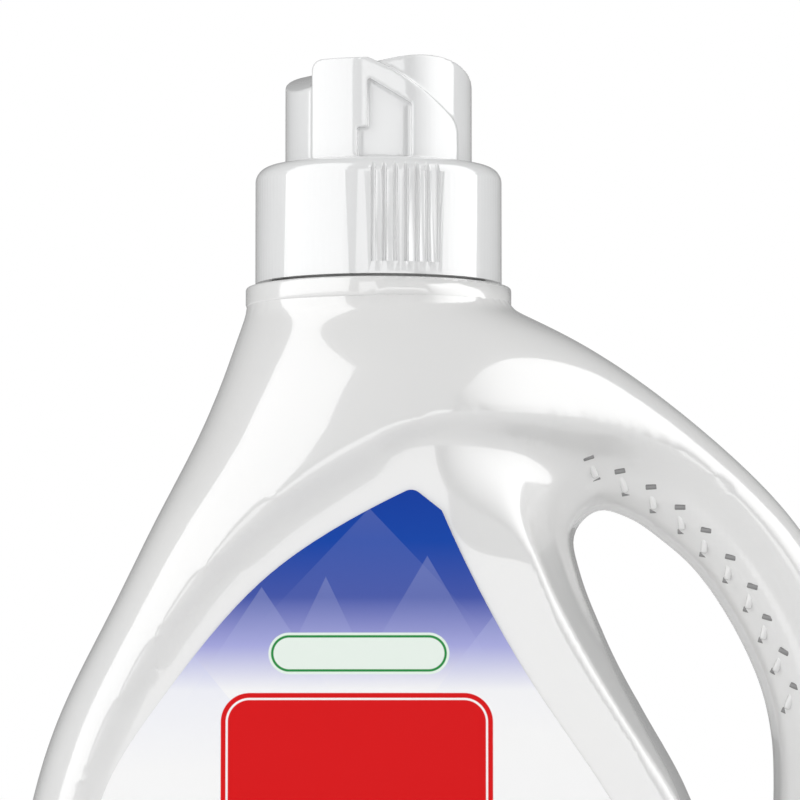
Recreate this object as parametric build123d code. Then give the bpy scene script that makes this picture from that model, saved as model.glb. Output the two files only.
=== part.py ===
"""Laundry detergent bottle: blown bottle with a side handle, pour spout, gasket, screw cap and label.

Millimetres. +Z is up, the front faces -Y and the handle is at +X. The origin is the middle of the
whole object's footprint, on the surface it stands on. Outlines are drawn about the neck's axis and
moved to the origin at the end.
"""
from build123d import *

import os
from math import cos, hypot, pi, radians, sin, sqrt, tan

# Bottle body
left_reach = 93.0  # from the neck's axis to the body's left side
right_reach = 124.0  # from the neck's axis to the handle's outer side
body_depth = 104.0  # front to back, across the belly
shoulder_height = 256.0  # table to the foot of the neck ring
handle_height = 148.0  # height of the handle's outermost point
wall = 1.5  # blown wall
section_points = 44  # points round each horizontal section
points_in_edge = 3  # outline points that one smooth edge of a cutter spans
heel_radius = 14.0
heel_inset = 9.0
base_foot = 8.0  # width of the foot round the base's hollow
base_hollow_depth = 3.0

# Recessed faces, front and back
panel_depth = 44.5  # from the mid plane to the label face, at its middle
panel_bulge_radius = 700.0  # the label face is slightly barrel shaped
panel_foot = 21.0  # lower crest of the recessed face
rim_width = 11.0  # frame left standing beside the recessed face
step_slope = 55.0  # degrees that the frame's inner slope leans from square

# Handle
handle_face_depth = 17.0  # from the mid plane to the handle's front face
rim_step = 4.5  # width of the slope inside the handle's rim
ridge_top = (32.0, 208.0)  # ridge between the label face and the handle's funnel
ridge_foot = (67.0, 138.0)
flank_start = 12.0  # the body starts to thin this far before the ridge
opening_draft = 7.0
opening_lip = 5.0  # softened edge of the opening
handle_rim = 9.0  # crest left standing round the handle's front face

# Neck and closure
neck_radius = 27.0
neck_bore = 24.6
neck_length = 24.5  # above the neck ring
ring_radius = 33.4
ring_height = 4.2
ring_edge_radius = 0.8
collar_radius = 31.0
collar_height = 29.4
collar_wall = 2.0
collar_gap = 1.8  # open gap between the neck ring and the collar
collar_edge_radius = 3.8
crown_radius = 23.5
crown_height = 26.2
crown_wall = 2.2
crown_vault_radius = 38.0
crown_ridge_azimuth = 33.0  # degrees from the front towards the handle

# Petals on the crown
petal_proud = 1.2
petal_thickness = 3.2
fin_height = 25.0
fin_corner_radius = 2.5
petal_start_x = -16.5
petal_bend_x = -2.6
petal_end_x = 19.8
petal_tail_height = 9.5
pocket_right_x = 8.3
pocket_band = 5.0  # height of the band left over the pocket
pocket_depth = 2.0
pocket_step = 2.6
pocket_step_height = 7.6
petal_arch = 1.6
seat_overlap = 0.5  # how far the petals run into the collar

# Grip grooves on the collar
groove_radius = 0.6
groove_pitch = 5.08  # degrees
grooves_in_group = 7
groove_middle_azimuth = 13.0
groove_band = 3.0  # smooth band left under the grooves

# Fitments inside the closure
fit_clearance = 0.15
spout_flange = 1.6
spout_wall = 1.4
spout_floor_depth = 17.0  # below the top of the neck
spout_radius = 13.0
spout_height = 37.0  # above its floor
spout_cut_angle = 30.0
drain_width = 6.0
drain_height = 8.0
gasket_bore = 22.5
gasket_thickness = 1.7

# Label
label_thickness = 0.3
label_middle_x = 5.0
label_foot = 38.0
label_corner_radius = 14.0
label_tip_radius = 3.0

# Heights that follow from the sizes above
ring_top = shoulder_height + ring_height
neck_top = ring_top + neck_length
collar_foot = ring_top + collar_gap
collar_top = collar_foot + collar_height
axis_x = (left_reach - right_reach) / 2


def blend(stations, at):
    """Smooth value at a height, from (height, value) stations."""
    spans = list(zip(stations, stations[1:]))
    rises = [(b[1] - a[1]) / (b[0] - a[0]) for a, b in spans]
    slopes = [rises[0]]
    for before, after in zip(rises, rises[1:]):
        same_way = before * after > 0
        slopes.append(2 * before * after / (before + after) if same_way else 0.0)
    slopes.append(rises[-1])
    for index, (low, high) in enumerate(spans):
        if at <= high[0] or index == len(spans) - 1:
            span = high[0] - low[0]
            t = (at - low[0]) / span
            start = (1 + 2 * t) * (1 - t) ** 2 * low[1] + t * (1 - t) ** 2 * span * slopes[index]
            end = t * t * (3 - 2 * t) * high[1] + t * t * (t - 1) * span * slopes[index + 1]
            return start + end
    return stations[-1][1]


def left_line(z):
    """Reach of the body to the left of the neck's axis."""
    neck = ring_radius - 0.6
    drop = left_reach - neck
    return blend(
        [
            (0, left_reach - 1.5),
            (0.27 * shoulder_height, left_reach),
            (0.515 * shoulder_height, neck + 0.88 * drop),
            (0.75 * shoulder_height, neck + 0.455 * drop),
            (0.9 * shoulder_height, neck + 0.15 * drop),
            (shoulder_height, neck),
        ],
        z,
    )


def right_line(z):
    """Reach of the body and handle to the right of the neck's axis."""
    neck = ring_radius - 0.6
    drop = right_reach - neck
    rise = shoulder_height - handle_height
    return blend(
        [
            (0, 0.85 * right_reach),
            (0.42 * handle_height, 0.895 * right_reach),
            (0.78 * handle_height, 0.978 * right_reach),
            (handle_height, right_reach),
            (handle_height + 0.265 * rise, neck + 0.93 * drop),
            (handle_height + 0.465 * rise, neck + 0.81 * drop),
            (handle_height + 0.7 * rise, neck + 0.55 * drop),
            (handle_height + 0.9 * rise, neck + 0.23 * drop),
            (shoulder_height, neck),
        ],
        z,
    )


def half_depth(z):
    """Half of the body's depth."""
    neck = ring_radius - 0.6
    bulge = body_depth / 2 - neck
    return blend(
        [
            (0, body_depth / 2 - 1),
            (0.3 * shoulder_height, body_depth / 2),
            (0.62 * shoulder_height, body_depth / 2),
            (0.8 * shoulder_height, neck + 0.97 * bulge),
            (0.9 * shoulder_height, neck + 0.72 * bulge),
            (shoulder_height, neck),
        ],
        z,
    )


def squareness(z):
    """Exponent of the section's outline: 2 is an ellipse, more is boxier."""
    top = shoulder_height
    return blend([(0, 4.2), (0.7 * top, 4.2), (0.85 * top, 3.0), (top, 2)], z)


def handle_share(z):
    """Share of the body's depth that is left at the handle."""
    top = shoulder_height
    return blend([(0, 1.0), (0.3 * top, 0.95), (0.47 * top, 0.5), (0.83 * top, 0.5), (top, 1)], z)


def heel_draw(z):
    """How far the rounded heel is drawn in at a height."""
    if z >= heel_radius:
        return 0.0
    return heel_inset * (1 - sqrt(1 - (1 - max(z, 0) / heel_radius) ** 2))


def ridge_line(z):
    """Distance of the ridge from the neck's axis."""
    lean = (ridge_foot[0] - ridge_top[0]) / (ridge_top[1] - ridge_foot[1])
    return ridge_top[0] + lean * (ridge_top[1] - z)


def thinning(x, z):
    """Share of the body's depth that is left as it runs out into the handle."""
    start = ridge_line(z) - flank_start
    ramp = min(max((x - start) / (right_line(z) - heel_inset - start), 0), 1)
    return 1 - (1 - handle_share(z)) * ramp * ramp * (3 - 2 * ramp)


def outer_depth(x, z):
    """Distance from the mid plane to the body's front at a place in the front view."""
    middle = (right_line(z) - left_line(z)) / 2
    half_width = (right_line(z) + left_line(z)) / 2
    power = squareness(z)
    aside = min(abs(x - middle) / half_width, 1)
    return half_depth(z) * (1 - aside**power) ** (1 / power) * thinning(x, z)


def section_point(z, turn, inset):
    """Point on the body's horizontal section, turn in radians from the handle's side."""
    inset = inset + heel_draw(z)
    left = left_line(z) - inset
    right = right_line(z) - inset
    power = squareness(z)
    reach = (abs(cos(turn)) ** power + abs(sin(turn)) ** power) ** (-1 / power)
    x = (right - left) / 2 + (right + left) / 2 * reach * cos(turn)
    return Vector(x, (half_depth(z) - inset) * reach * sin(turn) * thinning(x, z), z)


def body_form(inset):
    """Body with its handle still filled in, from the table to the neck ring, drawn in by inset."""
    heel = heel_radius / shoulder_height
    shares = [0, 0.1 * heel, 0.4 * heel, heel, 1.7 * heel, 0.17, 0.27, 0.38]
    shares += [0.49, 0.6, 0.7, 0.79, 0.87, 0.93, 0.97, 1]
    turns = [2 * pi * step / section_points for step in range(section_points)]
    wires = []
    for share in shares:
        z = inset + share * (shoulder_height - 2 * inset)
        outline_height = min(z + inset * share, shoulder_height)
        points = [section_point(outline_height, turn, inset) for turn in turns]
        points = [Vector(point.X, point.Y, z) for point in points]
        wires.append(Wire([Edge.make_spline(points, periodic=True)]))
    return Solid.make_loft(wires)


def displaced(points, amounts):
    """Closed outline in the front view, moved outwards by an amount each. Points run clockwise."""
    count = len(points)
    moved = []
    for index, (x, z) in enumerate(points):
        before = points[index - 1]
        after = points[(index + 1) % count]
        along_x = after[0] - before[0]
        along_z = after[1] - before[1]
        length = hypot(along_x, along_z)
        amount = amounts[index]
        moved.append((x - amount * along_z / length, z + amount * along_x / length))
    return moved


def outline_wire(points, depth):
    """Closed smooth outline standing upright at a depth in front of the mid plane."""
    count = len(points)
    placed = [Vector(x, -depth, z) for x, z in points]
    along = [placed[(index + 1) % count] - placed[index - 1] for index in range(count)]
    breaks = list(range(0, count - 1, points_in_edge)) + [count]
    edges = []
    for start, end in zip(breaks, breaks[1:]):
        run = [placed[index % count] for index in range(start, end + 1)]
        edges.append(Edge.make_spline(run, tangents=[along[start], along[end % count]]))
    return Wire(edges)


def sloped_cutter(walls, low, grow):
    """Cutter whose walls rise from a foot, at the low level, through a crest on the body's front."""
    wires = []
    for level in (low - grow, body_depth / 2 + 10):
        outline = []
        amounts = []
        for crest, foot in walls:
            rise = min(outer_depth(*crest), panel_depth + 7) - low
            share = (level - low) / rise
            outline.append((foot[0] + share * (crest[0] - foot[0]), foot[1] + share * (crest[1] - foot[1])))
            amounts.append(grow * hypot(rise, crest[0] - foot[0], crest[1] - foot[1]) / rise)
        wires.append(outline_wire(displaced(outline, amounts), level))
    return Solid.make_loft(wires, True)


def opening_cutter(grow):
    """Front half of the handle opening, with draft and, on the handle's side, a softened lip."""
    draft = tan(radians(opening_draft))
    lip_foot = handle_face_depth - opening_lip
    mouth = body_depth / 2 + 10
    outline = [(x, z) for x, z, lip in opening_outline()]
    wires = []
    for depth, lip_share in ((0, 0), (lip_foot, 0), (handle_face_depth, 1), (mouth, 1)):
        amounts = [grow + depth * draft + lip_share * lip * opening_lip for x, z, lip in opening_outline()]
        wires.append(outline_wire(displaced(outline, amounts), depth))
    return Solid.make_loft(wires, True)


def face_walls():
    """Crest and foot of the arched step round the recessed front face, clockwise from the lower left."""
    def left(z, rim):
        return (rim - left_line(z), z)

    def right(z, rim):
        return (right_line(z) - rim, z)

    points = [
        left(58, rim_width),
        left(98, rim_width),
        (-71.5, 138.2),
        (-61.9, 158.5),
        (-45.7, 183.8),
        (-26.7, 203.6),
        (-11.2, 214.5),
        (5.2, 222.7),
        (30.5, 227.0),
        (57.4, 224.4),
        (83, 209),
        right(172, 1.4 * rim_width),
        right(132, 1.5 * rim_width),
        right(90, 1.4 * rim_width),
        right(52, 1.4 * rim_width),
        (0.73 * right_reach, panel_foot + 12),
        (0.62 * right_reach, panel_foot + 2.5),
        (0.38 * right_reach, panel_foot),
        (0.1 * right_reach, panel_foot),
        (-0.22 * left_reach, panel_foot),
        (-0.55 * left_reach, panel_foot + 1),
        (-0.76 * left_reach, panel_foot + 9),
    ]
    spreads = []
    for x, z in points:
        rise = min(outer_depth(x, z), panel_depth + 7) - panel_depth + 7
        spreads.append(-rise * tan(radians(step_slope)))
    return list(zip(points, displaced(points, spreads)))


def pocket_walls():
    """Crest and foot of the walls round the handle's front face, clockwise from the lower end."""
    def rim(z):
        out = right_line(z)
        return (out - handle_rim, z), (out - handle_rim - rim_step, z)

    return [
        ((83, 112), (89.5, 115)),
        ((75.3, 124), (82.3, 127.7)),
        ((66.9, 137.7), (74.2, 141.4)),
        ((57.7, 151.8), (65, 155.5)),
        ((49.7, 164.8), (57, 168.5)),
        ((42.2, 178.9), (49.8, 181.6)),
        ((35.2, 195.1), (45.5, 194)),
        ((31.8, 208), (44.6, 202)),
        ((35.5, 219.5), (47, 208.3)),
        ((45, 226.4), (52, 211.6)),
        ((57.4, 224.4), (57.5, 212.8)),
        ((67.3, 221.5), (64.3, 212.8)),
        ((77.8, 216.5), (74.2, 210.4)),
        ((85.8, 210.1), (82, 205.8)),
        ((93.7, 201.7), (89.8, 198.2)),
        ((100.6, 192.3), (96.6, 189.6)),
        rim(176),
        rim(158),
        rim(138),
        rim(120),
        ((105.5, 104), (101.5, 107)),
        ((98, 92.5), (96.2, 100)),
        ((89.5, 98), (91.8, 103.5)),
    ]


def opening_outline():
    """Handle opening at the mid plane, clockwise from its lower end: (x, z, share of the lip)."""
    return [
        (88, 108, 0),
        (81.5, 124, 0),
        (75.5, 139, 0),
        (67, 154, 0),
        (59.9, 167, 0),
        (54.1, 180, 0),
        (50.4, 190.5, 0),
        (49.2, 199.5, 0.1),
        (54.5, 205, 0.5),
        (62.5, 203.3, 0.8),
        (69.5, 198.8, 1),
        (77.8, 191.7, 1),
        (84.3, 183.4, 1),
        (90.6, 172.6, 1),
        (95.1, 162.3, 1),
        (98, 150, 1),
        (98.6, 137.5, 1),
        (98.2, 124, 0.8),
        (96.2, 111, 0.5),
        (92, 105.5, 0.2),
    ]


def both_faces(cutter):
    return [cutter, cutter.mirror(Plane.XZ)]


def label_barrel(radius):
    """Upright cylinder whose front is the label face."""
    form = Cylinder(radius, 2 * shoulder_height)
    return form.moved(Location((label_middle_x, panel_bulge_radius - panel_depth, shoulder_height / 2)))


def bottle_form(inset):
    """Body with its recessed faces, handle and opening. With an inset it is the hollow inside."""
    face = sloped_cutter(face_walls(), panel_depth - 7, inset)
    face = face - label_barrel(panel_bulge_radius - inset)
    pocket = sloped_cutter(pocket_walls(), handle_face_depth, inset)
    form = body_form(inset)
    for cutter in (face, pocket, opening_cutter(inset)):
        form = form.cut(*both_faces(cutter))
    return form


def disc(radius, low, high):
    """Upright cylinder about the neck's axis between two heights."""
    return Cylinder(radius, high - low, align=(Align.CENTER, Align.CENTER, Align.MIN)).moved(Location((0, 0, low)))


def ring(outer, inner, low, high):
    return disc(outer, low, high) - disc(inner, low - 1, high + 1)


def base_hollow(grow):
    """Shallow push-up under the base."""
    wires = []
    for height, inset in ((-1.0, base_foot), (base_hollow_depth + grow, base_foot + 5)):
        points = [section_point(0, 2 * pi * step / section_points, inset - grow) for step in range(section_points)]
        points = [Vector(point.X, point.Y, height) for point in points]
        wires.append(Wire([Edge.make_spline(points, periodic=True)]))
    return Solid.make_loft(wires)


def neck_ring():
    """Ring under the closure, with softened edges."""
    form = disc(ring_radius, shoulder_height, ring_top)
    return fillet(form.edges().filter_by(GeomType.CIRCLE), ring_edge_radius)


def make_bottle():
    solid = bottle_form(0) + neck_ring() + disc(neck_radius, ring_top - 1, neck_top)
    hollow = bottle_form(wall) - base_hollow(wall)
    solid = solid - base_hollow(0) - hollow
    return solid - disc(neck_bore, shoulder_height - 3 * wall, neck_top + 1)


def make_pour_spout():
    """Fitment pressed into the neck: flange, sleeve, floor with a drain, and the pouring lip."""
    floor = neck_top - spout_floor_depth
    outer = neck_bore - fit_clearance
    body = ring(neck_radius, outer - spout_wall, neck_top, neck_top + spout_flange)
    body = body + ring(outer, outer - spout_wall, floor, neck_top + spout_flange)
    body = body + disc(outer, floor, floor + spout_wall)
    tube = disc(spout_radius, floor, floor + spout_height)
    slant = Box(6 * spout_radius, 6 * spout_radius, 2 * spout_height, align=(Align.CENTER, Align.CENTER, Align.MIN))
    slant = slant.rotate(Axis.Y, spout_cut_angle)
    slant = slant.moved(Location((-spout_radius, 0, floor + spout_height)))
    body = body + (tube - slant)
    body = body - disc(spout_radius - spout_wall, floor - 1, floor + spout_height + 1)
    drain = Box(4 * spout_wall, drain_width, drain_height, align=(Align.CENTER, Align.CENTER, Align.MIN))
    body = body - drain.moved(Location((spout_radius - spout_wall / 2, 0, floor - 1)))
    return body


def make_gasket():
    low = neck_top + spout_flange + fit_clearance
    return ring(collar_radius - collar_wall - fit_clearance, gasket_bore, low, low + gasket_thickness)


def vault(radius):
    """Lying cylinder whose upper side is the crown's arched top."""
    form = Cylinder(radius, 4 * crown_radius).rotate(Axis.Y, 90).rotate(Axis.Z, crown_ridge_azimuth - 90)
    return form.moved(Location((0, 0, collar_top + crown_height - crown_vault_radius)))


def front_prism(edges, reach):
    """Outline of (across, height over the collar), extruded from the neck's axis to the front."""
    face = Plane.XZ * make_face(edges)
    return extrude(face, reach).moved(Location((0, 0, collar_top)))


def petal_outline():
    """A petal seen from the front: upright fin on the left, tail falling to the right."""
    corner = fin_corner_radius
    bend = (petal_bend_x, fin_height)
    shoulder = (petal_end_x - 1.2, petal_tail_height + 1.2)
    middle = ((bend[0] + shoulder[0]) / 2, (bend[1] + shoulder[1]) / 2 + petal_arch)
    tail = (petal_end_x, petal_tail_height - 3)
    return [
        Line((petal_start_x, -seat_overlap), (petal_start_x, fin_height - corner)),
        RadiusArc((petal_start_x, fin_height - corner), (petal_start_x + corner, fin_height), corner),
        Line((petal_start_x + corner, fin_height), bend),
        ThreePointArc(bend, middle, shoulder),
        ThreePointArc(shoulder, (petal_end_x - 0.3, petal_tail_height - 0.6), tail),
        Line(tail, (petal_end_x, -seat_overlap)),
        Line((petal_end_x, -seat_overlap), (petal_start_x, -seat_overlap)),
    ]


def pocket_in_petal_outline():
    """The scooped window under the petal's sloping band, with the small step at its lower left."""
    left = petal_bend_x
    step = left - pocket_step
    slope = (fin_height - petal_tail_height) / (petal_end_x - petal_bend_x)
    top_left = fin_height - pocket_band
    top_right = top_left - slope * 0.85 * (pocket_right_x - left)
    corners = [
        (step, 0),
        (step, pocket_step_height),
        (left, pocket_step_height),
        (left, top_left),
        (pocket_right_x, top_right),
        (pocket_right_x, 0),
    ]
    return [Line(a, b) for a, b in zip(corners, corners[1:] + corners[:1])]


def half_turned(shape):
    return shape.rotate(Axis.Z, 180)


def make_petal():
    outer = crown_radius + petal_proud
    reach = 2 * crown_radius
    band = ring(outer, outer - petal_thickness, collar_top - 1, collar_top + fin_height + 1)
    petal = band & front_prism(petal_outline(), reach)
    scoop = ring(outer + 1, outer - pocket_depth, collar_top - 1, collar_top + fin_height)
    return petal, scoop & front_prism(pocket_in_petal_outline(), reach)


def make_cap():
    """One moulding: collar with grip grooves, and a closed crown with two petals wrapped round it."""
    collar = disc(collar_radius, collar_foot, collar_top)
    collar = fillet(collar.edges().filter_by(GeomType.CIRCLE).sort_by(Axis.Z)[-1], collar_edge_radius)
    crown = disc(crown_radius, collar_top - 1, collar_top + crown_height + 1) & vault(crown_vault_radius)
    petal, scoop = make_petal()
    cap = collar + crown + petal + half_turned(petal) - scoop - half_turned(scoop)
    ceiling = neck_top + spout_flange + gasket_thickness + 2 * fit_clearance
    crown_bore = crown_radius + petal_proud - pocket_depth - crown_wall
    inside = disc(crown_bore, ceiling - 1, collar_top + crown_height) & vault(crown_vault_radius - crown_wall)
    cap = cap - inside - disc(collar_radius - collar_wall, collar_foot - 1, ceiling)
    for side in (0, 180):
        for index in range(grooves_in_group):
            turn = groove_middle_azimuth + (index - (grooves_in_group - 1) / 2) * groove_pitch + side - 90
            groove = disc(groove_radius, collar_foot + groove_band, collar_top + 1)
            cap = cap - groove.moved(Location((collar_radius + 0.1, 0, 0))).rotate(Axis.Z, turn)
    return cap


def label_outline():
    """Outline of the film label in the front view."""
    top = (8.5, 208.5)
    left = [(-11, 198.2), (-27, 186.8), (-41, 172), (-54, 155), (-65.6, 136), (-71, 112), (-73, 80)]
    right = [(24.3, 184.2), (38.6, 159.3), (54.5, 136), (67, 112), (74, 88)]
    low_left = (-71, label_foot)
    low_right = (76, label_foot)
    return [
        Spline([top] + left + [low_left]),
        Line(low_left, low_right),
        Spline([low_right] + right[::-1] + [(15.5, 203)]),
        Line((15.5, 203), top),
    ]


def make_front_label():
    face = make_face(label_outline())
    face = fillet(face.vertices().group_by(Axis.Y)[0], label_corner_radius)
    face = fillet(face.vertices().group_by(Axis.Y)[-1], label_tip_radius)
    prism = extrude(Plane.XZ * face, body_depth)
    seat = panel_bulge_radius + fit_clearance
    film = label_barrel(seat + label_thickness) - label_barrel(seat)
    return film & prism


def write(name, shape):
    placed = shape.moved(Location((axis_x, 0, 0)))
    placed.label = name
    export_step(placed, f"parts/{name}.step")


os.makedirs("parts", exist_ok=True)
write("bottle", make_bottle())
write("pour_spout", make_pour_spout())
write("cap_gasket", make_gasket())
write("cap", make_cap())
write("front_label", make_front_label())
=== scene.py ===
# %% [markdown]
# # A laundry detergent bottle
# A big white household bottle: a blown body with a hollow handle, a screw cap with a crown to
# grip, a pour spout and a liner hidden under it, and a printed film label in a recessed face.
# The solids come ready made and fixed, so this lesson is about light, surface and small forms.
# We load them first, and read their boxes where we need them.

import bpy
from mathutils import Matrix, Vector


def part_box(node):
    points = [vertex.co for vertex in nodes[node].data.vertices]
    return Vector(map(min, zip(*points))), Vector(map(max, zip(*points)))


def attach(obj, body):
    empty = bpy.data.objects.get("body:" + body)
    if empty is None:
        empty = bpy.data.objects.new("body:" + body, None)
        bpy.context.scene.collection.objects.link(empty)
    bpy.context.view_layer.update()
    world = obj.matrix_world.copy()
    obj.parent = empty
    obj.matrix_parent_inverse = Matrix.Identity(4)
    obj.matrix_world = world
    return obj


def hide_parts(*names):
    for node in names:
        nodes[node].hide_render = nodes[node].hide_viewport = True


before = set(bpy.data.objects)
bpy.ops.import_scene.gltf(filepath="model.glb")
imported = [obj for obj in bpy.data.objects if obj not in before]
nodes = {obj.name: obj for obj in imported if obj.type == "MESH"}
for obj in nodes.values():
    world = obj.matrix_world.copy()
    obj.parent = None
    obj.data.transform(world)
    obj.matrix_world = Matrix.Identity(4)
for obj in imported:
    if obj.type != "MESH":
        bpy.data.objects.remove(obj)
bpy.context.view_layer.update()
print("pieces:", sorted(nodes))

# %% [markdown]
# Positions are written in metres, in the same frame as the solids: up is +Z, the label faces -Y
# and the handle is towards +X. The neck isn't in the middle, so its axis gets a name of its own.

# %% Names for the main places
import math

import bpy
from mathutils import Vector

millimetre = 0.001
cap_low, cap_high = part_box("cap")
neck_x = (cap_low.x + cap_high.x) / 2
print("neck axis at x =", round(neck_x, 4))

# %% [markdown]
# The photographer stood level with the label's middle, over a metre away, with a long lens, so
# the bottle's sides stay nearly parallel. A camera that tilts up by four degrees sees the same
# as one that is shifted, and it keeps the whole bottle in the frame from any other side too.

# %% Camera
eye = Vector((neck_x + 5.4 * millimetre, -1.2, 0.145))
aim = Vector((eye.x, 0.0, 0.233))
camera = bpy.data.objects.new("camera", bpy.data.cameras.new("camera"))
bpy.context.scene.collection.objects.link(camera)
camera.location = eye
camera.rotation_euler = (aim - eye).to_track_quat("-Z", "Y").to_euler()
camera.data.sensor_width = 36
camera.data.lens = 215.5
camera.data.clip_end = 50
bpy.context.scene.camera = camera
print("camera tilt:", round(math.degrees(camera.rotation_euler.x) - 90, 2), "degrees")

# %% [markdown]
# White plastic shows its form only through what it reflects. One tall soft box stands upright on
# the left, and its near edge draws the hard line that runs down the cap and the shoulder. A weaker,
# low one in front lights the label. Lamps are set by the light that leaves each square metre, so a
# wider one isn't a brighter one.

# %% Lamps
def soft_box(name, azimuth, height, aim_height, size, radiance, distance=2.6):
    """Rectangular lamp on a stand, turned towards the bottle's axis at the aim's height."""
    turn = math.radians(azimuth)
    lamp = bpy.data.objects.new(name, bpy.data.lights.new(name, "AREA"))
    bpy.context.scene.collection.objects.link(lamp)
    lamp.location = (math.sin(turn) * distance, -math.cos(turn) * distance, height)
    facing = Vector((0, 0, aim_height)) - lamp.location
    lamp.rotation_euler = facing.to_track_quat("-Z", "Y").to_euler()
    lamp.data.shape = "RECTANGLE"
    lamp.data.size, lamp.data.size_y = size
    lamp.data.energy = radiance * math.pi * size[0] * size[1]
    lamp.visible_camera = False
    print(name, "gives", round(lamp.data.energy, 1), "W")


soft_box("soft_box_left", -62.7, 2.15, 2.15, (3.39, 4.2), 1.75)
soft_box("soft_box_front", 6, 0.42, 0.2, (2.8, 1.1), 1.3, distance=3.0)

# %% [markdown]
# Shader maths reads best as plain sums. This small class wraps a node's output, so that
# `1 - mask` or `a * b` adds its Math node by itself, and one method adds every other node.

# %% Shader sums
class Link:
    """A node's output that can be used in sums."""

    def __init__(self, finish, socket):
        self.finish, self.socket = finish, socket

    def maths(self, operation, *values):
        return self.finish.node("ShaderNodeMath", {"operation": operation}, dict(enumerate(values)))

    def __add__(self, other):
        return self.maths("ADD", self, other)

    def __sub__(self, other):
        return self.maths("SUBTRACT", self, other)

    def __rsub__(self, other):
        return self.maths("SUBTRACT", other, self)

    def __mul__(self, other):
        return self.maths("MULTIPLY", self, other)

    def __truediv__(self, other):
        return self.maths("DIVIDE", self, other)

    def __pow__(self, other):
        return self.maths("POWER", self, other)

    def __abs__(self):
        return self.maths("ABSOLUTE", self)

    __radd__ = __add__
    __rmul__ = __mul__

    def larger(self, other):
        return self.maths("MAXIMUM", self, other)

    def smaller(self, other):
        return self.maths("MINIMUM", self, other)


class Finish:
    """A material, and the one way to add any node to it."""

    def __init__(self, name, data=None):
        self.material = data or bpy.data.materials.new(name)
        self.material.use_nodes = True
        self.tree = self.material.node_tree
        self.tree.nodes.clear()

    def node(self, kind, settings=None, sockets=None, output=0):
        made = self.tree.nodes.new(kind)
        for key, value in (settings or {}).items():
            if key == "stops":
                self.set_stops(made.color_ramp, value)
            else:
                setattr(made, key, value)
        for key, value in (sockets or {}).items():
            if isinstance(value, Link):
                self.tree.links.new(value.socket, made.inputs[key])
            else:
                made.inputs[key].default_value = value
        return Link(self, made.outputs[output]) if len(made.outputs) else made

    def noise(self, place, scale, detail):
        sockets = {"Vector": place, "Scale": scale, "Detail": detail}
        return self.node("ShaderNodeTexNoise", sockets=sockets)

    def mixed(self, below, share, above):
        """One colour laid over another, by a share from 0 to 1."""
        sockets = {0: share, 6: below, 7: above}
        return self.node("ShaderNodeMix", {"data_type": "RGBA"}, sockets, output=2)

    def set_stops(self, ramp, stops):
        while len(ramp.elements) < len(stops):
            ramp.elements.new(0.5)
        for element, (place, colour) in zip(ramp.elements, stops):
            element.position, element.color = place, colour


print("sums ready")

# %% [markdown]
# The room is a plain dim grey for the light that falls on the bottle. Where the camera looks
# past the bottle it sees white, as in a shop photograph: Light Path tells the two apart.

# %% Room
world = bpy.data.worlds.new("studio")
bpy.context.scene.world = world
bpy.context.scene.view_settings.view_transform = "Standard"
room = Finish("studio", world)
seen = room.node("ShaderNodeLightPath", output=0)
light = room.node("ShaderNodeBackground", sockets={"Color": (1, 1, 1, 1), "Strength": 0.32})
white = room.node("ShaderNodeBackground", sockets={"Color": (1, 1, 1, 1), "Strength": 1.0})
shown = room.node("ShaderNodeMixShader", sockets={0: seen, 1: light, 2: white})
room.node("ShaderNodeOutputWorld", sockets={"Surface": shown})
print("room nodes:", len(room.tree.nodes))

# %% [markdown]
# The table is a wide pale sheet. Half of what the camera sees of it is plain white, and the
# other half is lit as usual, so it melts into the background and still holds the shadow. Further
# out the white takes over, and no horizon shows.

# %% Table
bpy.ops.object.select_all(action="DESELECT")
bpy.ops.mesh.primitive_circle_add(vertices=96, radius=4.0, fill_type="NGON", location=(0, 0, 0))
table = bpy.context.object
table.name = "table"
sheet = Finish("table_white")
seen = sheet.node("ShaderNodeLightPath", output=0)
speck = sheet.node("ShaderNodeTexNoise", sockets={"Scale": 3.0, "Detail": 2.0})
tint = sheet.node(
    "ShaderNodeValToRGB",
    {"stops": [(0.3, (0.86, 0.86, 0.86, 1)), (0.7, (0.9, 0.9, 0.9, 1))]},
    {"Fac": speck},
)
lit = sheet.node("ShaderNodeBsdfDiffuse", sockets={"Color": tint})
plain = sheet.node("ShaderNodeEmission", sockets={"Color": (1, 1, 1, 1), "Strength": 1.0})
place = sheet.node("ShaderNodeTexCoord", output=3)
from_middle = sheet.node("ShaderNodeVectorMath", {"operation": "LENGTH"}, {0: place}, output=1)
far = ((from_middle - 0.5) / 0.9).larger(0).smaller(1)
shown = sheet.node(
    "ShaderNodeMixShader", sockets={0: seen * (0.35 + far * 0.45) + 0.2, 1: lit, 2: plain}
)
sheet.node("ShaderNodeOutputMaterial", sockets={"Surface": shown})
table.data.materials.append(sheet.material)
print("table is", round(table.dimensions.x, 2), "m across")

# %% [markdown]
# On the right the photograph has no hard line: the white comes up slowly. A glowing sheet does
# that, dark at the edge near the camera and bright towards the side.

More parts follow.
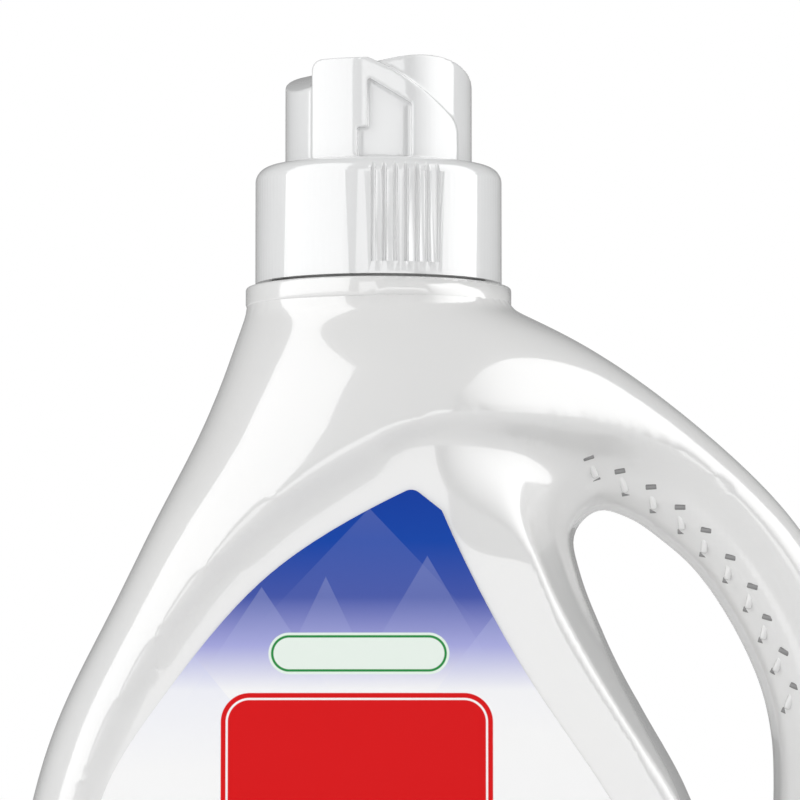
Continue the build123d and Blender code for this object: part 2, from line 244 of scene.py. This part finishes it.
# %% Glowing sheet on the right
bpy.ops.object.select_all(action="DESELECT")
bpy.ops.mesh.primitive_plane_add(size=1)
panel = bpy.context.object
panel.name = "glow_right"
bpy.ops.object.mode_set(mode="EDIT")
bpy.ops.mesh.select_all(action="SELECT")
bpy.ops.transform.resize(value=(3.8, 3.6, 1))
origin = (0, 0, 0)
bpy.ops.transform.rotate(value=math.radians(90), orient_axis="X", center_override=origin)
bpy.ops.transform.rotate(value=math.radians(-70), orient_axis="Z", center_override=origin)
bpy.ops.transform.translate(value=(2.44, -0.89, 1.8))
bpy.ops.object.mode_set(mode="OBJECT")
glow = Finish("glow_right")
place = glow.node("ShaderNodeTexCoord", output=3)
depth = glow.node("ShaderNodeSeparateXYZ", sockets={0: place}, output=1)
rise = ((depth + 2.3) / 1.5).larger(0).smaller(1)
colour = glow.mixed((0, 0, 0, 1), rise, (1, 1, 1, 1))
lit = glow.node("ShaderNodeEmission", sockets={"Color": colour, "Strength": 2.5})
glow.node("ShaderNodeOutputMaterial", sockets={"Surface": lit})
panel.data.materials.append(glow.material)
panel.visible_camera = False
print("glow stands from y", [round(v.co.y, 2) for v in panel.data.vertices])

# %% [markdown]
# Blown polyethylene is glossy but never quite even: the melt leaves long soft waves, the mould
# leaves a faint pebble, and handling leaves duller patches. The same recipe with other numbers
# also makes the tighter skin of the injection-moulded cap.

# %% Moulded plastic
def moulded_plastic(name, light_tone, dark_tone, roughness, wave, pebble, seam=0.0):
    """Glossy plastic. Wave, pebble and seam say how strongly each relief shows."""
    finish = Finish(name)
    place = finish.node("ShaderNodeTexCoord", output=3)
    from_middle = abs(finish.node("ShaderNodeSeparateXYZ", sockets={0: place}, output=1))
    cloud = finish.noise(place, 14.0, 3.0)
    grain = finish.noise(place, 900.0, 2.0)
    swell = finish.noise(place, 28.0, 1.0)
    colour = finish.node(
        "ShaderNodeValToRGB", {"stops": [(0.25, dark_tone), (0.75, light_tone)]}, {"Fac": cloud}
    )
    dull = roughness * (0.75 + cloud * 0.5)
    long_wave = finish.node(
        "ShaderNodeBump", sockets={"Height": swell, "Strength": wave, "Distance": 0.0008}
    )
    normal = finish.node(
        "ShaderNodeBump",
        sockets={"Height": grain, "Strength": pebble, "Distance": 0.00005, "Normal": long_wave},
    )
    if seam:
        parting = (1.5 - from_middle * 5000).larger(0).smaller(1)
        normal = finish.node(
            "ShaderNodeBump",
            sockets={"Height": parting, "Strength": seam, "Distance": 0.0001, "Normal": normal},
        )
    shader = finish.node(
        "ShaderNodeBsdfPrincipled",
        sockets={
            "Base Color": colour,
            "Roughness": dull,
            "Normal": normal,
            "IOR": 1.52,
            "Coat Weight": 1.0,
            "Coat Roughness": 0.05,
            "Coat IOR": 1.8,
        },
    )
    finish.node("ShaderNodeOutputMaterial", sockets={"Surface": shader})
    return finish.material


bottle_white = moulded_plastic(
    "bottle_white", (0.83, 0.828, 0.82, 1), (0.805, 0.806, 0.804, 1), 0.2, 0.05, 0.25, seam=0.5
)
cap_white = moulded_plastic(
    "cap_white", (0.82, 0.825, 0.825, 1), (0.8, 0.806, 0.81, 1), 0.16, 0.02, 0.15
)
spout_white = moulded_plastic(
    "spout_white", (0.8, 0.82, 0.83, 1), (0.76, 0.79, 0.8, 1), 0.3, 0.05, 0.3
)
print("plastics:", bottle_white.name, cap_white.name, spout_white.name)

# %% [markdown]
# The liner in the cap is foamed plastic: matt, a little grey, and full of tiny cells.

# %% Liner foam
def liner_foam():
    finish = Finish("liner_foam")
    place = finish.node("ShaderNodeTexCoord", output=3)
    cells = finish.node("ShaderNodeTexVoronoi", sockets={"Vector": place, "Scale": 1400.0})
    colour = finish.node(
        "ShaderNodeValToRGB",
        {"stops": [(0.0, (0.72, 0.72, 0.7, 1)), (0.6, (0.82, 0.82, 0.8, 1))]},
        {"Fac": cells},
    )
    normal = finish.node(
        "ShaderNodeBump", sockets={"Height": cells, "Strength": 0.5, "Distance": 0.0002}
    )
    shader = finish.node(
        "ShaderNodeBsdfPrincipled",
        sockets={"Base Color": colour, "Roughness": 0.75, "Normal": normal},
    )
    finish.node("ShaderNodeOutputMaterial", sockets={"Surface": shader})
    return finish.material


foam = liner_foam()
print("liner:", foam.name)

# %% [markdown]
# The label is printed film. Its print is made of plain fields: a blue sky with pale peaks that
# fades to white, bubbles at the foot, a red panel and an empty pill. Each field is a mask: a
# number that is 1 inside its edge and 0 outside, worked out from the place on the label in metres.

# %% Colours and masks for the print
def printed(red, green, blue):
    """A colour as a printer states it, 0 to 255, turned into light."""
    light = [
        ((share + 0.055) / 1.055) ** 2.4 if share > 0.04 else share / 12.92
        for share in (red / 255, green / 255, blue / 255)
    ]
    return light + [1]


def inside(distance, softness=0.0002):
    """Mask that is 1 where a distance to an edge is below zero."""
    return (0.5 - distance * (1 / softness)).larger(0).smaller(1)


def round_field(across, up, centre, radius):
    return inside(((across - centre[0]) ** 2 + (up - centre[1]) ** 2) ** 0.5 - radius)


def box_distance(across, up, centre, half_size, corner):
    """Distance to the edge of a box with round corners."""
    side = (abs(across - centre[0]) - (half_size[0] - corner)).larger(0)
    rise = (abs(up - centre[1]) - (half_size[1] - corner)).larger(0)
    return (side ** 2 + rise ** 2) ** 0.5 - corner


def peak_field(across, up, peak, steepness):
    """Upright wedge of colour below a peak."""
    edge = abs(across - peak[0]) * steepness + up - peak[1]
    return inside(edge * (1 + steepness ** 2) ** -0.5)


print("red becomes", [round(c, 3) for c in printed(222, 8, 14)])

# %% Label print
# Each peak: its tip, the steepness of its sides, how strongly it shows.
label_peaks = [
    ((-0.002, 0.2035), 1.05, 0.1),
    ((-0.028, 0.1845), 1.5, 0.2),
    ((0.012, 0.192), 1.7, 0.16),
    ((-0.0125, 0.187), 2.1, 0.16),
    ((0.029, 0.179), 1.3, 0.22),
    ((-0.046, 0.17), 1.2, 0.3),
]
# Each bubble: its centre and radius.
label_bubbles = [
    ((-0.055, 0.06), 0.008),
    ((-0.036, 0.05), 0.0048),
    ((0.052, 0.056), 0.009),
    ((0.031, 0.0485), 0.0046),
    ((0.063, 0.075), 0.0042),
]


peak_fade = 0.03
pill_centre, pill_half_size = (-0.0045, 0.1685), (0.0212, 0.0044)
panel_centre, panel_half_size = (-0.005, 0.1385), (0.0328, 0.0205)
paper_white = printed(255, 255, 255)


def label_print():
    finish = Finish("label_print")
    place = finish.node("ShaderNodeTexCoord", output=3)
    across = finish.node("ShaderNodeSeparateXYZ", sockets={0: place}, output=0) - neck_x
    up = finish.node("ShaderNodeSeparateXYZ", sockets={0: place}, output=2)
    height = (up - 0.03) / 0.18
    stops = [
        (0.0, printed(20, 72, 165)),
        (0.1, printed(110, 140, 208)),
        (0.2, printed(254, 254, 254)),
        (0.72, printed(254, 254, 254)),
        (0.78, printed(168, 170, 226)),
        (0.845, printed(66, 86, 172)),
        (0.92, printed(4, 68, 170)),
        (1.0, printed(0, 58, 162)),
    ]
    colour = finish.node("ShaderNodeValToRGB", {"stops": stops}, {"Fac": height})
    for peak, steepness, strength in label_peaks:
        field = peak_field(across, up, peak, steepness)
        fade = ((up - (peak[1] - peak_fade)) / peak_fade).larger(0).smaller(1)
        colour = finish.mixed(colour, field * fade * strength, printed(206, 212, 246))
    for centre, radius in label_bubbles:
        film = round_field(across, up, centre, radius)
        core = round_field(across, up, centre, radius * 0.9)
        colour = finish.mixed(colour, film * 0.25, printed(150, 184, 236))
        colour = finish.mixed(colour, (film - core) * 0.6, paper_white)
    pill = box_distance(across, up, pill_centre, pill_half_size, pill_half_size[1])
    colour = finish.mixed(colour, inside(pill - 0.0006), printed(236, 250, 240))
    colour = finish.mixed(colour, inside(pill), printed(36, 142, 66))
    colour = finish.mixed(colour, inside(pill + 0.0006), printed(238, 248, 240))
    panel = box_distance(across, up, panel_centre, panel_half_size, 0.007)
    colour = finish.mixed(colour, inside(panel), printed(222, 8, 14))
    panel_line = inside(panel + 0.0012) - inside(panel + 0.0017)
    colour = finish.mixed(colour, panel_line, paper_white)
    wear = finish.noise(place, 60.0, 3.0)
    ripple = finish.noise(place, 45.0, 1.0)
    normal = finish.node(
        "ShaderNodeBump", sockets={"Height": ripple, "Strength": 0.12, "Distance": 0.0004}
    )
    shader = finish.node(
        "ShaderNodeBsdfPrincipled",
        sockets={
            "Base Color": colour,
            "Roughness": 0.3 + wear * 0.12,
            "Normal": normal,
            "Specular IOR Level": 0.12,
            "Coat Weight": 0.03,
            "Coat Roughness": 0.12,
        },
    )
    finish.node("ShaderNodeOutputMaterial", sockets={"Surface": shader})
    print("label fields:", len(label_peaks) + len(label_bubbles) + 2)
    return finish.material


# %% Dress the solids
def dress(name, material):
    mesh = nodes[name].data
    mesh.materials.clear()
    mesh.materials.append(material)


dress("bottle", bottle_white)
dress("cap", cap_white)
dress("pour_spout", spout_white)
dress("cap_gasket", foam)
dress("front_label", label_print())
print("dressed:", sorted(nodes))

# %% [markdown]
# The blown body deserves softer edges than its solid has: melt pressed into a mould rounds every
# crest. We copy the outer skin alone, rebuild it as an even net of small faces, and relax that
# net a little. Of the inner wall only the part in the neck can ever be seen, so the rest goes.

# %% Small helpers for editing
def only(obj):
    """Make this the only selected object."""
    bpy.ops.object.select_all(action="DESELECT")
    obj.select_set(True)
    bpy.context.view_layer.objects.active = obj


def duplicate(obj):
    """Copy of an object with a mesh of its own."""
    copy = obj.copy()
    copy.data = obj.data.copy()
    bpy.context.scene.collection.objects.link(copy)
    return copy


def pick_faces(obj, wanted):
    """Select the faces whose centre is wanted. The object is left in edit mode."""
    only(obj)
    bpy.ops.object.mode_set(mode="EDIT")
    bpy.ops.mesh.select_mode(type="FACE")
    bpy.ops.mesh.select_all(action="DESELECT")
    bpy.ops.object.mode_set(mode="OBJECT")
    for face in obj.data.polygons:
        face.select = wanted(face.center)
    bpy.ops.object.mode_set(mode="EDIT")


def delete_faces(obj, unwanted):
    pick_faces(obj, unwanted)
    bpy.ops.mesh.delete(type="FACE")
    bpy.ops.object.mode_set(mode="OBJECT")


def weld(obj):
    """Join corners that lie on each other."""
    only(obj)
    bpy.ops.object.mode_set(mode="EDIT")
    bpy.ops.mesh.select_all(action="SELECT")
    bpy.ops.mesh.remove_doubles(threshold=0.01 * millimetre)
    bpy.ops.object.mode_set(mode="OBJECT")


def joined(pieces):
    bpy.ops.object.select_all(action="DESELECT")
    for piece in pieces:
        piece.select_set(True)
    bpy.context.view_layer.objects.active = pieces[0]
    bpy.ops.object.join()
    return pieces[0]


def smooth_shade(obj, edge_degrees=None):
    """Shade a piece smoothly, but keep the edges that are sharper than an angle."""
    only(obj)
    if edge_degrees is None:
        bpy.ops.object.shade_smooth()
    else:
        bpy.ops.object.shade_smooth_by_angle(angle=math.radians(edge_degrees))


def apply_modifier(obj, kind, **settings):
    """Add one modifier with its settings and apply it at once."""
    only(obj)
    modifier = obj.modifiers.new(kind.lower(), kind)
    for key, value in settings.items():
        setattr(modifier, key, value)
    bpy.ops.object.modifier_apply(modifier=modifier.name)


def finished(obj, name, body, material):
    """Name a piece, give it its material and let it ride on its body."""
    obj.name = obj.data.name = name
    obj.data.materials.clear()
    obj.data.materials.append(material)
    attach(obj, body)
    print(name, "has", len(obj.data.polygons), "faces")


# %% Skins of moulded pieces
def welded_copy(name):
    """Copy of a solid's mesh with its corners joined, free of any body."""
    copy = duplicate(nodes[name])
    copy.parent = None
    for key in list(copy.keys()):
        del copy[key]
    weld(copy)
    return copy


def split_walls(solid, rim_height):
    """Cut a hollow piece at its flat rim: the outer skin, and the inner wall with the rim."""
    pick_faces(solid, lambda centre: abs(centre.z - rim_height) < 0.1 * millimetre)
    bpy.ops.mesh.separate(type="SELECTED")
    bpy.ops.mesh.select_all(action="SELECT")
    bpy.ops.mesh.separate(type="LOOSE")
    bpy.ops.object.mode_set(mode="OBJECT")
    shells = sorted(bpy.context.selected_objects, key=lambda o: (o.dimensions.x, o.dimensions.z))
    print("shells are", [round(shell.dimensions.x, 4) for shell in shells], "m long")
    return shells[-1], joined(shells[:-1])


def closed(skin):
    """Close the skin's one open ring with a lid."""
    only(skin)
    bpy.ops.object.mode_set(mode="EDIT")
    bpy.ops.mesh.select_mode(type="EDGE")
    bpy.ops.mesh.select_all(action="DESELECT")
    bpy.ops.mesh.select_non_manifold(extend=False, use_boundary=True, use_wire=False)
    bpy.ops.mesh.edge_face_add()
    bpy.ops.object.mode_set(mode="OBJECT")


def even_net(skin, mesh_width):
    """Rebuild a closed skin as a net of even faces that lies on the old one."""
    guide = duplicate(skin)
    apply_modifier(skin, "REMESH", mode="VOXEL", voxel_size=mesh_width)
    apply_modifier(skin, "SMOOTH", factor=0.5, iterations=2)
    apply_modifier(skin, "SHRINKWRAP", target=guide, wrap_method="NEAREST_SURFACEPOINT")
    bpy.data.objects.remove(guide)


def kept_above(obj, height):
    """Delete what lies below a height."""
    delete_faces(obj, lambda centre: centre.z < height)


def kept_below(obj, height):
    """Delete what lies above a height."""
    delete_faces(obj, lambda centre: centre.z > height)


bottle_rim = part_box("bottle")[1].z
shoulder_top = 256.0 * millimetre
ring_top = 260.2 * millimetre
skin, inner_wall = split_walls(welded_copy("bottle"), bottle_rim)
neck = duplicate(skin)
kept_above(neck, shoulder_top - 0.2 * millimetre)
kept_above(inner_wall, shoulder_top - 12 * millimetre)
closed(skin)
even_net(skin, 1.5 * millimetre)
print("bottle net:", len(skin.data.polygons), "faces")

# %% [markdown]
# The photograph shows one unbroken crest that arches over the label and runs on down the handle.
# In the solid that crest dies out between the two, where the shoulder gets lower than the label
# face. We sink a smooth funnel under the crest there, by moving the net's points towards the mid
# plane, first the wall under the crest and then the floor that leads on into the handle.

# %% Funnel under the arch
# Each point of the crest: distance from the neck's axis, height, depth, in millimetres.
arch_crest = [
    (-11.2, 214.5, 50.0),
    (5.2, 222.7, 48.6),
    (14.8, 225.1, 47.9),
    (22.0, 226.1, 46.0),
    (30.5, 226.5, 42.7),
    (41.7, 226.4, 36.6),
    (50.0, 225.6, 31.8),
    (57.4, 224.4, 27.7),
    (67.3, 221.5, 23.4),
]


label_face_depth = 44.5
handle_face_depth = 17.0
funnel_foot = 190
wall_slope = 1.3


def smooth_step(share):
    share = min(max(share, 0), 1)
    return share * share * (3 - 2 * share)


def crest_at(x):
    """Height and depth of the crest at a distance from the neck's axis, in millimetres."""
    for low, high in zip(arch_crest, arch_crest[1:]):
        if x <= high[0]:
            share = (x - low[0]) / (high[0] - low[0])
            return [a + share * (b - a) for a, b in zip(low[1:], high[1:])]
    return arch_crest[-1][1:]


def sink_funnel(obj):
    """Move the points under the crest towards the mid plane, on the front and on the back."""
    moved = 0
    for vertex in obj.data.vertices:
        x = (vertex.co.x - neck_x) / millimetre
        depth = abs(vertex.co.y) / millimetre
        z = vertex.co.z / millimetre
        if not (0 < x < 64 and funnel_foot < z < 227 and depth > 16.5):
            continue
        crest_height, crest_depth = crest_at(x)
        if z >= crest_height:
            continue
        fall = label_face_depth - handle_face_depth
        floor = label_face_depth - fall * smooth_step((x - 9) / 49)
        hold = smooth_step((z - funnel_foot) / 32)
        floor = hold * floor + (1 - hold) * depth
        wall = crest_depth - wall_slope * (crest_height - z)
        sunk = min(depth, max(floor, wall))
        moved += sunk < depth
        vertex.co.y = math.copysign(sunk * millimetre, vertex.co.y)
    print("funnel moved", moved, "points")


def soften_funnel(obj, passes):
    """Relax the net in the funnel alone, less and less towards its border."""
    group = obj.vertex_groups.new(name="funnel")
    for vertex in obj.data.vertices:
        x = (vertex.co.x - neck_x) / millimetre
        z = vertex.co.z / millimetre
        top = crest_at(x)[0] - 6
        if abs(vertex.co.y) > 15 * millimetre and 5 < x < 62 and 192 < z < top:
            inward = min((x - 5) / 14, (62 - x) / 10, (z - 192) / 12, (top - z) / 5, 1)
            group.add([vertex.index], inward, "REPLACE")
    apply_modifier(obj, "SMOOTH", factor=0.5, iterations=passes, vertex_group="funnel")
    obj.vertex_groups.clear()


sink_funnel(skin)
apply_modifier(skin, "SMOOTH", factor=0.5, iterations=12)
soften_funnel(skin, 40)
kept_below(skin, shoulder_top + 1.2 * millimetre)
tucked_in = 0.995  # the skin's last rows slip just inside the neck, so the two never coincide
for vertex in skin.data.vertices:
    if vertex.co.z > shoulder_top + 0.3 * millimetre:
        vertex.co.x = neck_x + (vertex.co.x - neck_x) * tucked_in
        vertex.co.y *= tucked_in
smooth_shade(skin)
finished(skin, "bottle_skin", "bottle", bottle_white)
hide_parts("bottle")

# %% [markdown]
# The neck stays as exact as its solid, because a cap has to fit it. Only the ring under the cap
# stands a little taller here, which leaves the thin dark gap that the photograph shows.

# %% Neck with its ring
def lift_ring(obj, rise):
    """Raise the ring's upper edge alone."""
    for vertex in obj.data.vertices:
        aside = math.hypot(vertex.co.x - neck_x, vertex.co.y)
        if abs(vertex.co.z - ring_top) < 1.2 * millimetre and aside > 27.3 * millimetre:
            vertex.co.z += rise


lift_ring(neck, 0.9 * millimetre)
neck = joined([neck, inner_wall])
weld(neck)
smooth_shade(neck, edge_degrees=30)
finished(neck, "bottle_neck", "bottle", bottle_white)

# %% [markdown]
# The cap climbs a single thread on the neck. A small flat profile is swept round the neck's axis
# by a Screw modifier, which rises as it turns, by the same lead that the joint has.

# %% Thread on the neck
def neck_thread(root_radius, crest_radius, foot, lead, turns, width):
    """Closed ridge round the neck, swept from a flat profile that stands at the foot's height."""
    bpy.ops.object.select_all(action="DESELECT")
    bpy.ops.mesh.primitive_plane_add(size=1)
    made = bpy.context.object
    bpy.ops.object.mode_set(mode="EDIT")
    bpy.ops.mesh.select_all(action="SELECT")
    bpy.ops.transform.resize(value=(crest_radius - root_radius, width, 1))
    bpy.ops.transform.rotate(value=math.radians(90), orient_axis="X", center_override=(0, 0, 0))
    middle = (crest_radius + root_radius) / 2
    bpy.ops.transform.translate(value=(middle, 0, foot))
    bpy.ops.mesh.delete(type="ONLY_FACE")
    bpy.ops.object.mode_set(mode="OBJECT")
    steps = round(64 * turns)
    sweep = {"angle": 2 * math.pi * turns, "screw_offset": lead * turns, "steps": steps}
    apply_modifier(made, "SCREW", axis="Z", render_steps=steps, **sweep)
    bpy.ops.object.mode_set(mode="EDIT")
    bpy.ops.mesh.select_all(action="SELECT")
    bpy.ops.mesh.fill_holes(sides=6)
    bpy.ops.mesh.select_all(action="SELECT")
    bpy.ops.mesh.normals_make_consistent(inside=False)
    bpy.ops.mesh.bevel(offset=0.3 * millimetre, segments=2, affect="EDGES")
    bpy.ops.mesh.select_all(action="SELECT")
    bpy.ops.transform.translate(value=(neck_x, 0, 0))
    bpy.ops.object.mode_set(mode="OBJECT")
    return made


thread = neck_thread(
    root_radius=26.8 * millimetre,
    crest_radius=28.4 * millimetre,
    foot=265.5 * millimetre,
    lead=6.0 * millimetre,
    turns=2.25,
    width=1.6 * millimetre,
)
smooth_shade(thread, edge_degrees=40)
finished(thread, "neck_thread", "bottle", bottle_white)

# %% [markdown]
# The cap is injection moulded, and its mould has small radii at every edge. Its crown gets the
# same treatment with a much finer net, so each edge catches a thin line of light. Two faces that
# lie on each other turn black, so the net's ledge is sunk a hair below the collar's own.

# %% Crown and collar of the cap
cap_foot = cap_low.z
collar_top = 291.4 * millimetre
crown, cap_inside = split_walls(welded_copy("cap"), cap_foot)
collar = duplicate(crown)
kept_below(collar, collar_top + 0.05 * millimetre)
closed(crown)
even_net(crown, (0.45) * millimetre)
apply_modifier(crown, "SMOOTH", factor=0.5, iterations=2)
kept_above(crown, collar_top - 0.6 * millimetre)
for vertex in crown.data.vertices:
    if vertex.co.z < collar_top + 0.03 * millimetre:
        vertex.co.z -= 0.15 * millimetre
smooth_shade(crown)
finished(crown, "cap_crown", "cap", cap_white)
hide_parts("cap")
collar = joined([collar, cap_inside])
weld(collar)
smooth_shade(collar, edge_degrees=14)
finished(collar, "cap_collar", "cap", cap_white)

# %% [markdown]
# Short ribs across the front and back of the handle keep wet fingers from slipping. On the real
# mould they are one small cutter, sunk again and again along the curve. We do the same: one bar
# with rounded edges is made once, then copied, turned and moved to each place. A dark grey dash
# lies across each rib's outer end, and a thinner one across its inner end: these dashes are painted
# shade, dark bars that stand in for the shadow at the rib's ends.

# %% Grip ribs on the handle
def bar(length, width, height, edge):
    """Bar with rounded edges, lying along X about the origin."""
    bpy.ops.object.select_all(action="DESELECT")
    bpy.ops.mesh.primitive_cube_add(size=1)
    made = bpy.context.object
    bpy.ops.object.mode_set(mode="EDIT")
    bpy.ops.mesh.select_all(action="SELECT")
    bpy.ops.transform.resize(value=(length, height, width))
    bpy.ops.mesh.bevel(offset=edge, segments=3, affect="EDGES")
    bpy.ops.object.mode_set(mode="OBJECT")
    return made


def placed_copy(obj, tilt, shift):
    """Copy with its own mesh, tilted in the front view and moved."""
    copy = duplicate(obj)
    only(copy)
    bpy.ops.object.mode_set(mode="EDIT")
    bpy.ops.mesh.select_all(action="SELECT")
    bpy.ops.transform.rotate(value=tilt, orient_axis="Y", center_override=(0, 0, 0))
    bpy.ops.transform.translate(value=shift)
    bpy.ops.object.mode_set(mode="OBJECT")
    return copy


# Where each rib ends: distance from the neck's axis and height, in millimetres.
outer_ends = [
    (51.9, 217.3),
    (59.8, 214.1),
    (67.5, 210.2),
    (74.7, 205.2),
    (81.1, 199.5),
    (87.1, 192.8),
    (92.5, 185.6),
    (96.2, 177.9),
    (100.2, 169.5),
    (102.9, 160.9),
]
inner_ends = [
    (53.9, 212.4),
    (61.3, 208.7),
    (68.3, 204.5),
    (75.2, 199.3),
    (80.6, 193.6),
    (86.3, 187.1),
    (91.3, 179.9),
    (95.0, 172.3),
    (98.0, 164.6),
    (100.7, 154.9),
]
rib_model = bar(5.4 * millimetre, 1.7 * millimetre, 1.8 * millimetre, 0.6 * millimetre)
# The two dash bars below are painted shade: dark grey pieces that stand in for the shadow at each
# rib's ends.
end_shade_dash_model = bar(2.7 * millimetre, 1.3 * millimetre, 0.75 * millimetre, 0.2 * millimetre)
thin_end_shade_dash_model = bar(2.0 * millimetre, 1.3 * millimetre, 0.4 * millimetre, 0.1 * millimetre)
across_rib = math.radians(85)
ribs = []
end_shade_dashes = []


def on_handle(place, side, sunk):
    """Point under the handle's face: a ray from the front finds how deep the skin lies there."""
    start = Vector((neck_x + place[0] * millimetre, -0.1, place[1] * millimetre))
    hit, point, normal, face = skin.ray_cast(start, Vector((0, 1, 0)))
    depth = -point.y if hit else handle_face_depth * millimetre
    return (start.x, side * (depth - sunk * millimetre), start.z)


for outer, inner in zip(outer_ends, inner_ends):
    middle = ((outer[0] + inner[0]) / 2, (outer[1] + inner[1]) / 2)
    tilt = math.atan2(outer[1] - inner[1], outer[0] - inner[0])
    for side in (-1, 1):
        ribs.append(placed_copy(rib_model, tilt, on_handle(middle, side, 0.68)))
        for model, place, sunk in ((end_shade_dash_model, outer, 0.2), (thin_end_shade_dash_model, inner, 0.3)):
            end_shade_dashes.append(placed_copy(model, tilt + across_rib, on_handle(place, side, sunk)))
for model in (rib_model, end_shade_dash_model, thin_end_shade_dash_model):
    bpy.data.objects.remove(model)
grip = joined(ribs)
smooth_shade(grip, edge_degrees=50)
finished(grip, "handle_grip_ribs", "bottle", bottle_white)
# This dark grey is painted shade, not a colour of the plastic.
painted_shade_grey = moulded_plastic("painted_shade_dash_grey", (0.2, 0.2, 0.2, 1), (0.15, 0.15, 0.15, 1), 0.5, 0.05, 0.2)
end_shade_row = joined(end_shade_dashes)
smooth_shade(end_shade_row, edge_degrees=50)
finished(end_shade_row, "handle_rib_painted_shade", "bottle", painted_shade_grey)
